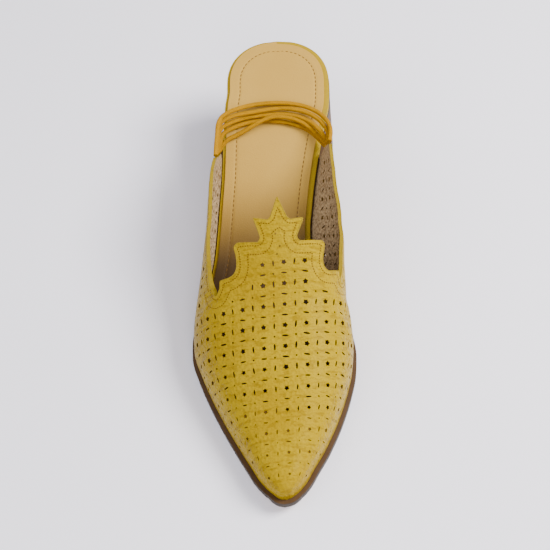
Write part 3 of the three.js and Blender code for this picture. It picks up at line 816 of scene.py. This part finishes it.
def pattern_place(column, row):
    """Length round and distance along the shoe of a place in the punched pattern."""
    around = STAR_ROUND + PITCH_ROUND * column
    run = STAR_ALONG + PITCH_ALONG * row + ROW_SLANT * column + ROW_BOW * column * column
    return float(np.interp(run, RIDGE_RUN, STATIONS)), around


def pattern_at(distance, around):
    """Column and row of a place on the leather: whole numbers at the stars."""
    column = (around - STAR_ROUND) / PITCH_ROUND
    run = float(np.interp(distance, STATIONS, RIDGE_RUN))
    return column, (run - STAR_ALONG - ROW_SLANT * column - ROW_BOW * column * column) / PITCH_ALONG


GRID_ALONG, GRID_ROUND = 190, 104
NOSE_ROWS = 0.16
shell = bmesh.new()
bmesh.ops.create_grid(shell, x_segments=GRID_ROUND, y_segments=GRID_ALONG, size=1)
pattern_layer = shell.loops.layers.uv.new("pattern")
pattern = {}
for vert in shell.verts:
    t = (1 - vert.co.y) / 2
    straight = 1 - NOSE_ROWS
    if t < straight:
        distance = UPPER_BACK + (NOSE_START - UPPER_BACK) * t / straight
    else:
        distance = NOSE_START + (NOSE - NOSE_START) * math.sin((t - straight) / NOSE_ROWS * math.pi / 2)
    ends = reach_round(distance)
    around = vert.co.x * (ends[1] if vert.co.x > 0 else -ends[0])
    pattern[vert.index] = pattern_at(distance, around)
    if NOSE - distance > 1e-6:
        vert.co = leather(distance, around)
    else:
        vert.co = (0, FROM_BACK - NOSE, sole_under(NOSE) + FOOT)
for face in shell.faces:
    for loop in face.loops:
        loop[pattern_layer].uv = pattern[loop.vert.index]
bmesh.ops.remove_doubles(shell, verts=shell.verts[:], dist=2e-6)

leather_finish = Finish("yellow_grained_leather", IOR=1.15, Specular_IOR_Level=1.0,
                        Specular_Tint=(1.0, 0.80, 0.12, 1.0),
                        Coat_Weight=0.05, Coat_IOR=1.3, Coat_Roughness=0.20)
pebble = leather_finish.pebbles(560)
fine = leather_finish.spot(900, 4)
broad = leather_finish.spot(22, 3)
pulled = leather_finish.spot(1.6, 5, stretch=(1, 3, 1), where="UV")
yellow = leather_finish.mix(leather_finish.step(broad, 0.35, 0.65), linear(148, 120, 0), linear(160, 133, 0))
yellow = leather_finish.mix(leather_finish.step(fine, 0.5, 0.8) * 0.5, yellow, linear(112, 86, 0))
yellow = leather_finish.mix(leather_finish.step(pulled, 0.5, 0.36) * 0.45, yellow, linear(112, 85, 0))
leather_finish.paint(yellow)
leather_finish.roughen(0.28 + fine * 0.2)
leather_finish.emboss(pebble * 0.8 + fine * 0.2 + pulled * 2.6, 0.00042)
lining_finish = Finish("taupe_lining", Roughness=0.9)
nap = lining_finish.spot(800, 5)
lining_finish.paint(lining_finish.mix(lining_finish.step(nap, 0.32, 0.66),
                                      linear(124, 101, 70), linear(180, 154, 116)))
lining_finish.emboss(nap, 0.0004)
raw_finish = speckled("raw_cut_edge", 0.8, (126, 103, 2), (150, 126, 12), scale=900, detail=3,
                      relief=0.0002)
# Painted shade: the holes' walls, and the bottoms of the shallow toe punches, are dark brown, darker than the
# same leather's cut edge, for the shade inside the holes.
hole_shade_finish = speckled("punched_hole_wall", 0.9, (70, 48, 6), (104, 76, 14), scale=1500)

UPPER_FINISHES = [leather_finish, lining_finish, raw_finish, hole_shade_finish]
LINING, RAW_EDGE, HOLE_WALL = 1, 2, 3
upper = linked(bpy.data.objects.new("punched_upper", mesh_of("punched_upper", shell, UPPER_FINISHES)))
wall = upper.modifiers.new("wall", "SOLIDIFY")
wall.thickness = WALL
wall.offset = -1
wall.material_offset = LINING
wall.material_offset_rim = RAW_EDGE
settle(upper)

# Top line of the side wings: place along the shoe, and height over the sole's edge at the lateral
# and medial side as shares of the instep
WING_TOP = [
    (WING_BACK / LENGTH, 0.12, 0.15), (0.303, 0.31, 0.42), (0.322, 0.42, 0.455),
    (0.352, 0.49, 0.49), (0.366, 0.55, 0.55), (0.430, 0.56, 0.56),
    (0.506, 0.56, 0.55), (0.570, 0.56, 0.53), (0.640, 0.56, 0.53)]
WING_STEPS = 60

# The crown seen from above, from its tip to the slot beside the wing: share of the ball width,
# place along the shoe, and True where the outline bends softly
CROWN_LATERAL = [
    (0.008, 0.478, False), (-0.038, 0.508, False), (-0.058, 0.512, False), (-0.150, 0.506, False),
    (-0.114, 0.532, True), (-0.112, 0.539, True), (-0.128, 0.544, False), (-0.262, 0.537, False),
    (-0.284, 0.542, True), (-0.272, 0.556, True), (-0.269, 0.572, True), (-0.285, 0.584, True),
    (-0.325, 0.589, True), (-0.386, 0.588, False), (-0.390, 0.602, True), (-0.414, 0.612, True),
    (-0.436, 0.604, True), (-0.440, 0.594, False)]
CROWN_MEDIAL = [
    (0.008, 0.478, False), (0.064, 0.508, False), (0.086, 0.512, False), (0.168, 0.507, False),
    (0.130, 0.530, True), (0.124, 0.537, True), (0.140, 0.543, False), (0.284, 0.534, False),
    (0.299, 0.538, True), (0.290, 0.552, True), (0.286, 0.564, True), (0.296, 0.574, True),
    (0.325, 0.577, True), (0.388, 0.566, False), (0.392, 0.574, True), (0.402, 0.583, True),
    (0.414, 0.576, True), (0.416, 0.568, False)]


def soft_line(points, steps):
    """A smooth line through points, with some steps in each gap."""
    line = [points[0]]
    for k in range(len(points) - 1):
        a, b = points[k], points[k + 1]
        before = points[max(k - 1, 0)]
        after = points[min(k + 2, len(points) - 1)]
        for i in range(1, steps + 1):
            t = i / steps
            lean_a, lean_b = (b - before) / 2, (after - a) / 2
            line.append(a * (2 * t ** 3 - 3 * t ** 2 + 1) + b * (3 * t ** 2 - 2 * t ** 3)
                        + lean_a * (t ** 3 - 2 * t ** 2 + t) + lean_b * (t ** 3 - t ** 2))
    return line


def crown_line(rows):
    """The crown's outline from above: straight between corners and soft where rows bend."""
    run = []
    line = []
    for across, at, bends in rows:
        run.append(Vector((across * BALL, FROM_BACK - at * LENGTH)))
        if not bends:
            line += soft_line(run, 6 if len(run) > 2 else 1)[1 if line else 0:]
            run = run[-1:]
    return line


def prism(name, outline, axis, low, high):
    """A closed body with an outline, from low to high along an axis."""
    shape = bmesh.new()
    corners = []
    for a, b in outline:
        corners.append(shape.verts.new((low, a, b) if axis == "X" else (a, b, low)))
    face = shape.faces.new(corners)
    way = Vector((high - low, 0, 0)) if axis == "X" else Vector((0, 0, high - low))
    bmesh.ops.translate(shape, vec=way, verts=raised(shape, [face]))
    bmesh.ops.recalc_face_normals(shape, faces=shape.faces[:])
    for face in shape.faces:
        face.material_index = RAW_EDGE
    return linked(bpy.data.objects.new(name, mesh_of(name, shape, UPPER_FINISHES)))


def combined(obj, tool, operation):
    """Cuts a closed body with another or keeps what they share. The tool is used up."""
    step = obj.modifiers.new("cut", "BOOLEAN")
    step.operation = operation
    step.solver = "MANIFOLD"
    step.object = tool
    settle(obj)
    bpy.data.objects.remove(tool, do_unlink=True)


# How far the cutting bodies reach past the shoe, and what they spare behind the wings
REACH = 0.12
CUT_SPARE = 0.001


def wing_height(at, side):
    """Height of a wing's top line at a place along the shoe."""
    return sole_under(at * LENGTH) + FOOT + INSTEP * follow(WING_TOP, 2 if side == MEDIAL else 1, at)


crown = crown_line(CROWN_LATERAL)[::-1] + crown_line(CROWN_MEDIAL)[1:]
behind_crown = [tuple(point) for point in crown]
behind_crown += [(REACH, crown[-1].y), (REACH, REACH), (-REACH, REACH), (-REACH, crown[0].y)]
for side in (LATERAL, MEDIAL):
    far, near = WING_TOP[-1][0], WING_TOP[0][0]
    places = [far + (near - far) * k / WING_STEPS for k in range(WING_STEPS + 1)]
    outline = [(FROM_BACK - at * LENGTH, wing_height(at, side)) for at in places]
    back = FROM_BACK - WING_BACK + CUT_SPARE
    outline += [(back, -REACH), (REACH, -REACH), (REACH, REACH), (outline[0][0], REACH)]
    opening = prism("opening", outline, "X", min(side * REACH, 0), max(side * REACH, 0))
    combined(opening, prism("behind_crown", behind_crown, "Z", -REACH, REACH), "INTERSECT")
    combined(upper, opening, "DIFFERENCE")


def over(x, y):
    """The place on top of the last under a point seen from above."""
    distance = FROM_BACK - y
    k, share = between(distance)
    found = []
    for station in (k, k + 1):
        across = SECTIONS[station][0]
        first, last = int(np.argmin(across)), int(np.argmax(across))
        found.append(np.interp(x, across[first:last + 1], ARCS[station][first:last + 1]))
    return distance, found[0] * (1 - share) + found[1] * share


def beside(distance, side, height):
    """The place on a side of the last at a height."""
    k = between(distance)[0]
    heights = SECTIONS[k][1]
    half = slice(0, MIDDLE + 1) if side == LATERAL else slice(None, MIDDLE - 1, -1)
    return distance, float(np.interp(height, heights[half], ARCS[k][half]))


def wing_cut(side, end):
    """The wing's back end and top line, up to where the crown's slot meets it."""
    foot = sole_under(WING_BACK) + FOOT
    rise = wing_height(WING_TOP[0][0], side) - foot
    foot_up = [beside(WING_BACK, side, foot + rise * k / 6) for k in range(1, 7)]
    stretch = np.linspace(WING_TOP[0][0], end, WING_STEPS)
    return foot_up + [beside(at * LENGTH, side, wing_height(at, side)) for at in stretch]


# The cut line as places on the leather, each a distance along the shoe and a length round
crown_cut = [over(point.x, point.y) for point in crown]
lateral_cut = wing_cut(LATERAL, CROWN_LATERAL[-1][1])
medial_cut = wing_cut(MEDIAL, CROWN_MEDIAL[-1][1])


def on_leather(places, sink=0.0):
    """Points on the leather, or a little under its face."""
    return [leather(*place) - stand_off(*place) * sink for place in places]


CROWN_EDGE_STEP, WING_EDGE_STEP = 0.0006, 0.0010
crown_edge = resampled(on_leather(crown_cut), CROWN_EDGE_STEP)
wing_edges = np.concatenate([resampled(on_leather(cut), WING_EDGE_STEP) for cut in (lateral_cut, medial_cut)])

# Half sizes of the punches: a star with five points, slits along and across, and a pinhole in the
# middle of each four. A punch is a bar of some length, most of it under the leather's face.
STAR, SLIT_LONG, SLIT_WIDE, PINHOLE = 0.00148, 0.00175, 0.00050, 0.00052
STAR_WAIST = 0.66
PUNCH_LENGTH, PUNCH_UNDER = 0.0045, 0.0030

# How far the holes keep from the cut lines and from the sole, and where the pattern ends
CROWN_MARGIN, WING_MARGIN, FOOT_MARGIN = 0.0098, 0.0045, 0.0050
BACK_MARGIN = 0.002
PATTERN_TOE = 0.965
HALF_COLUMNS, HALF_ROWS = range(-16, 17), range(-22, 24)

# Towards the toe the punches are smaller. The last ones are lifted and go in half a millimetre.
SMALLER_FROM, SMALLEST_AT, SMALLEST = 0.74, 0.95, 0.55
SHALLOW_FROM = 0.84
BLIND = 0.0025

# Unevenness of the handwork: size, and how far a star and any other hole turn
SIZE_SPREAD = (0.88, 1.08)
STAR_TURN, OTHER_TURN = 0.6, 0.12

# Length round and place along the shoe of three pinholes in the crown's point
CROWN_PINHOLES = [(-0.0015, 0.5335), (0.0005, 0.5520), (-0.0010, 0.5640)]


def punch(sides, waist, size):
    """One punch as a closed bar along Z through the leather, with every second corner drawn in."""
    shape = bmesh.new()
    bmesh.ops.create_circle(shape, cap_ends=True, segments=sides, radius=1)
    for k, vert in enumerate(shape.verts):
        vert.co *= waist if k % 2 else 1
    bmesh.ops.scale(shape, vec=(*size, 1), verts=shape.verts[:])
    bmesh.ops.translate(shape, vec=(0, 0, PUNCH_LENGTH), verts=raised(shape, shape.faces[:]))
    bmesh.ops.translate(shape, vec=(0, 0, -PUNCH_UNDER), verts=shape.verts[:])
    bmesh.ops.recalc_face_normals(shape, faces=shape.faces[:])
    for face in shape.faces:
        face.material_index = HOLE_WALL
    return mesh_of("punch", shape, [])


PUNCHES = {
    (0, 0): punch(10, STAR_WAIST, (STAR, STAR)),
    (1, 0): punch(8, 1.0, (SLIT_WIDE, SLIT_LONG)),
    (0, 1): punch(8, 1.0, (SLIT_LONG, SLIT_WIDE)),
    (1, 1): punch(6, 1.0, (PINHOLE, PINHOLE)),
}

crown_by_x = sorted(crown, key=lambda point: point.x)
crown_x = [point.x for point in crown_by_x]
crown_y = [point.y for point in crown_by_x]


def clear_of_cuts(point, distance, around):
    """Whether a hole's place is on the leather and far enough from its edges."""
    ends = reach_round(distance)
    side = MEDIAL if around > 0 else LATERAL
    if not ends[0] + FOOT_MARGIN < around < ends[1] - FOOT_MARGIN or distance < WING_BACK + WING_MARGIN:
        return False
    if point.y > np.interp(point.x, crown_x, crown_y) and point.z > wing_height(distance / LENGTH, side):
        return False
    if np.min(np.linalg.norm(crown_edge - np.array(point), axis=1)) < CROWN_MARGIN:
        return False
    return np.min(np.linalg.norm(wing_edges - np.array(point), axis=1)) > WING_MARGIN


def add_punch(kind, matrix):
    """Adds one punch to the holes."""
    before = len(holes.verts)
    holes.from_mesh(PUNCHES[kind])
    holes.verts.ensure_lookup_table()
    bmesh.ops.transform(holes, matrix=matrix, verts=holes.verts[before:])


uneven = random.Random(7)
holes = bmesh.new()
for column_half in HALF_COLUMNS:
    for row_half in HALF_ROWS:
        distance, around = pattern_place(column_half / 2, row_half / 2)
        if distance > PATTERN_TOE * LENGTH or distance <= UPPER_BACK + BACK_MARGIN:
            continue
        point = bare_last(distance, around)
        if not clear_of_cuts(point, distance, around):
            continue
        step = 0.001
        way = bare_last(distance, around + step) - bare_last(distance, around - step)
        kind = (column_half % 2, row_half % 2)
        at = distance / LENGTH
        size = float(np.interp(at, [SMALLER_FROM, SMALLEST_AT], [1.0, SMALLEST]))
        size *= uneven.uniform(*SIZE_SPREAD)
        turn = uneven.uniform(-1, 1) * (STAR_TURN if kind == (0, 0) else OTHER_TURN)
        lifted = BLIND if at > SHALLOW_FROM else 0.0
        place = frame_at(leather(distance, around), way, stand_off(distance, around))
        place = place @ Matrix.Translation((0, 0, lifted)) @ Matrix.Rotation(turn, 4, "Z")
        add_punch(kind, place @ Matrix.Diagonal((size, size, 1, 1)))
for around, at in CROWN_PINHOLES:
    distance = at * LENGTH
    add_punch((1, 1), frame_at(leather(distance, around), (1, 0, 0), stand_off(distance, around)))
combined(upper, linked(bpy.data.objects.new("holes", mesh_of("holes", holes, UPPER_FINISHES))), "DIFFERENCE")
smooth(upper, sharp=32)
fitted(upper, "yellow_leather", "upper")

# Topline edge
# The skived leather is turned over the lining along the whole cut line, which leaves a thin, wavy
# bead of dull yellow round the crown and the wings.
BEAD = 0.00030
BEAD_STEP = 0.0009
BEAD_WAVE = 0.16


def bead_along(name, places, finish):
    """A thin round bead on the leather through places on it."""
    points = resampled(on_leather(places, BEAD * 0.5), BEAD_STEP)
    line = bpy.data.curves.new(name, "CURVE")
    line.dimensions = "3D"
    line.bevel_depth = BEAD
    line.bevel_resolution = 2
    line.use_fill_caps = True
    run = line.splines.new("POLY")
    run.points.add(len(points) - 1)
    for k, (knot, point) in enumerate(zip(run.points, points)):
        knot.co = (*point, 1)
        knot.radius = 1 + BEAD_WAVE * math.sin(2.1 * k) * math.sin(0.73 * k)
    line.materials.append(finish.material)
    curve = linked(bpy.data.objects.new(name + "_line", line))
    graph = bpy.context.evaluated_depsgraph_get()
    mesh = bpy.data.meshes.new_from_object(curve.evaluated_get(graph))
    bpy.data.objects.remove(curve, do_unlink=True)
    obj = linked(bpy.data.objects.new(name, mesh))
    smooth(obj, sharp=60)
    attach(obj, "root")


bead_along("crown_bead", crown_cut, raw_finish)
bead_along("lateral_wing_bead", lateral_cut, raw_finish)
bead_along("medial_wing_bead", medial_cut, raw_finish)

# Topline seams
# Two rows of fine yellow thread hold leather and lining together along the crown, 2 and 6.5 mm in,
# and one row follows each wing's top line.
STITCH_PITCH = 0.00135
STITCH, STITCH_SINK = (0.00050, 0.00020, 0.00012), 0.00002
NEEDLE_HOLE = (0.00036, 0.00036, 0.00007)
CROWN_SEAMS = (0.0020, 0.0065)
SEAM_STEP = 0.0005
CLOSEST = 0.97
WING_SEAM = 0.0020
thread_finish = speckled("yellow_thread", 0.55, (112, 78, 0), (140, 104, 0), scale=2500)
# Painted shade: small dark beads on the leather stand for the shade in the needle holes.
needle_hole_shade_finish = speckled("needle_hole_shade", 0.9, (58, 40, 2), (84, 58, 4), scale=900)


def seam_inside(edge_places, inside):
    """Places on the leather at a distance inside a cut line, with the doubled-back ones left out."""
    line = resampled([leather(*place) for place in edge_places], SEAM_STEP)
    found = []
    for k in range(1, len(line) - 1):
        along = Vector(line[k + 1] - line[k - 1]).normalized()
        place = over(line[k][0], line[k][1])
        inward = along.cross(stand_off(*place))
        point = Vector(line[k]) + inward * inside
        if np.min(np.linalg.norm(line - np.array(point), axis=1)) > inside * CLOSEST:
            found.append(over(point.x, point.y))
    return found


def seam_piece(name, rows):
    """Rows of stitches with a dark dot of painted shade for the needle hole between each two."""
    thread = bmesh.new()
    needle = bmesh.new()
    for places in rows:
        line = resampled([(*leather(*place), *place) for place in places], STITCH_PITCH)
        points = line[:, :3]
        outs = [stand_off(distance, around) for distance, around in line[:, 3:]]
        sewn(thread, points, outs, STITCH, STITCH_SINK)
        for point, out in zip(points, outs):
            small_bead(needle, frame_at(Vector(point), out.orthogonal(), out), NEEDLE_HOLE)
    for part, shape, finish in (("thread", thread, thread_finish), ("needle_hole_shade", needle, needle_hole_shade_finish)):
        obj = made(f"{name}_{part}", shape, [finish])
        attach(obj, "root")


def wing_row(side, cut):
    """Places along a wing's top line, inside its cut line."""
    return [(distance, around + side * WING_SEAM) for distance, around in cut
            if distance > WING_BACK + WING_SEAM]


seam_piece("crown_seam", [seam_inside(crown_cut, inside) for inside in CROWN_SEAMS])
seam_piece("wing_seam", [wing_row(LATERAL, lateral_cut), wing_row(MEDIAL, medial_cut)])
